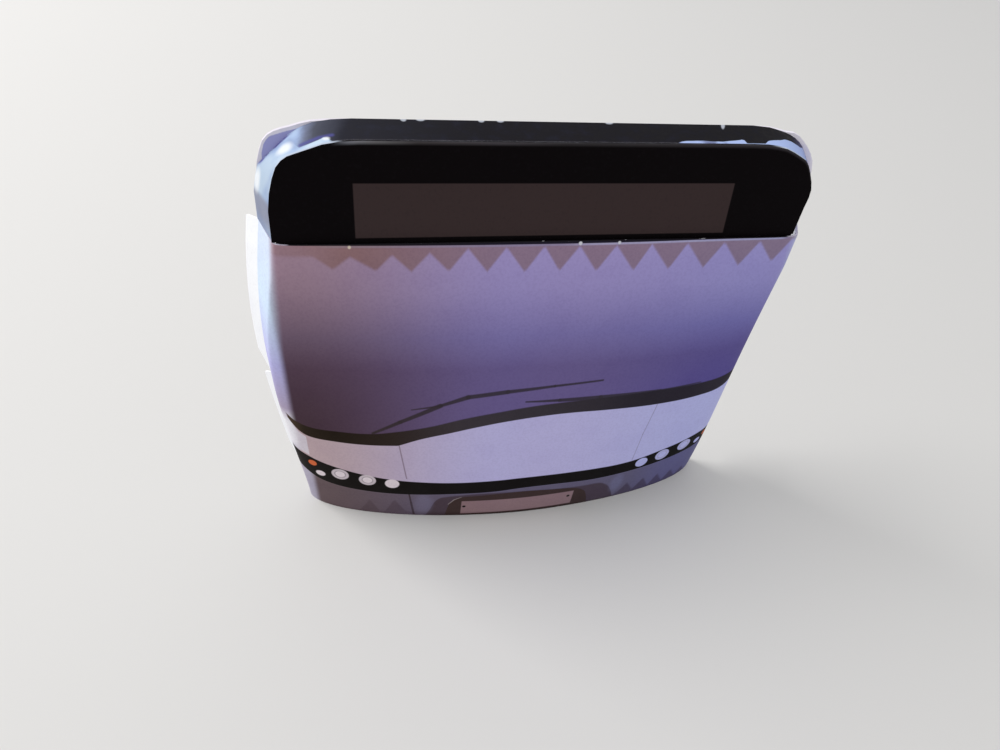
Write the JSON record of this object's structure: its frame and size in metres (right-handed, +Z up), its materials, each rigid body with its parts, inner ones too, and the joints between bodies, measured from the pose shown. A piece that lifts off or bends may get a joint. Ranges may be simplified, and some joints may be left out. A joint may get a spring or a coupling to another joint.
{
  "type": "card model of a bus front end",
  "caption": "Front end of a folded card model of an airport bus: bowed printed sheet, glue tabs, box header and toothed floor plate.",
  "frame": {"origin": "on the floor, at the middle of the floor plate's underside", "axes": "+X across the front, +Y back into the bus, +Z up"},
  "size_m": [0.0656, 0.0186, 0.0529],
  "materials": {
    "printed_card": "satin",
    "black_card": "satin",
    "white_card": "matte"
  },
  "bodies": {
    "root": {"front_sheet": "printed_card", "tab_upper_left": "white_card", "tab_lower_left": "white_card", "tab_upper_right": "white_card", "tab_lower_right": "white_card", "header_front": "black_card", "header_strip": "black_card", "header_back": "white_card", "floor_plate": "white_card"}
  },
  "joints": []
}
